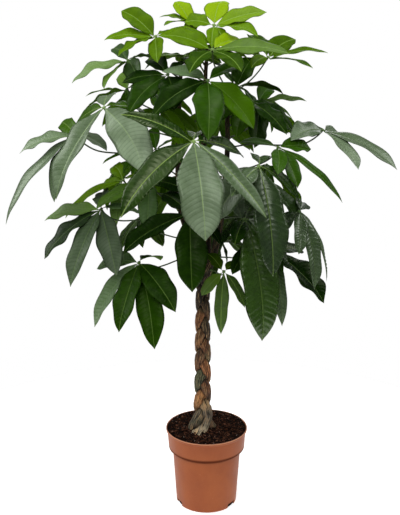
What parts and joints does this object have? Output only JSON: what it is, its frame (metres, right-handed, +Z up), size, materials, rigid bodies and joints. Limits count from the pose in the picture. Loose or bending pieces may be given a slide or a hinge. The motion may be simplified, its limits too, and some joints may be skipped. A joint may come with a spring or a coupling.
{
  "type": "potted money tree",
  "caption": "Bushy indoor tree with a plaited trunk and hand-shaped compound leaves, growing in soil in a tapered round nursery pot.",
  "frame": {"origin": "centre of the pot's flat base, on the surface it stands on", "axes": "+Z up along the trunk, -Y towards the front of the plant, +X to the right seen from the front"},
  "size_m": [0.9303, 0.7962, 1.2683],
  "materials": {
    "pot_plastic": "moulded brown-orange plastic, satin",
    "soil": "dark fibrous potting soil, stands in for its bulk density",
    "bark": "fissured grey-brown bark",
    "leaf": "mature dark green leaf, waxy gloss",
    "young_leaf": "young bright green leaf, waxy gloss"
  },
  "bodies": {
    "root": {"leaf_back_centre": "leaf", "leaf_back_inner": "leaf", "leaf_back_left": "leaf", "leaf_back_low": "leaf", "leaf_back_low_left": "leaf", "leaf_back_middle": "leaf", "leaf_back_right": "leaf", "leaf_back_top": "young_leaf", "leaf_back_upper_left": "leaf", "leaf_back_upper_right": "leaf", "leaf_centre_left": "leaf", "leaf_front_centre": "leaf", "leaf_front_high": "leaf", "leaf_front_right": "leaf", "leaf_inner_centre": "leaf", "leaf_inner_high_left": "leaf", "leaf_inner_high_right": "leaf", "leaf_inner_left": "leaf", "leaf_inner_low": "leaf", "leaf_inner_right": "leaf", "leaf_inner_top": "young_leaf", "leaf_left_crown": "leaf", "leaf_left_far": "leaf", "leaf_left_front": "leaf", "leaf_left_inner": "leaf", "leaf_left_low": "leaf", "leaf_left_middle": "leaf", "leaf_left_side": "young_leaf", "leaf_left_star": "leaf", "leaf_low_centre": "leaf", "leaf_low_right": "leaf", "leaf_right_crown": "leaf", "leaf_right_far": "leaf", "leaf_right_low": "leaf", "leaf_right_middle": "leaf", "leaf_right_upper": "leaf", "leaf_shoot": "young_leaf", "leaf_top_centre": "young_leaf", "leaf_top_front": "young_leaf", "leaf_top_left": "young_leaf", "leaf_top_right": "young_leaf", "leaf_top_star": "leaf", "leaf_upper_left": "young_leaf", "pot": "pot_plastic", "soil": "soil", "stem_back": "bark", "stem_left": "bark", "stem_right": "bark"}
  },
  "joints": []
}
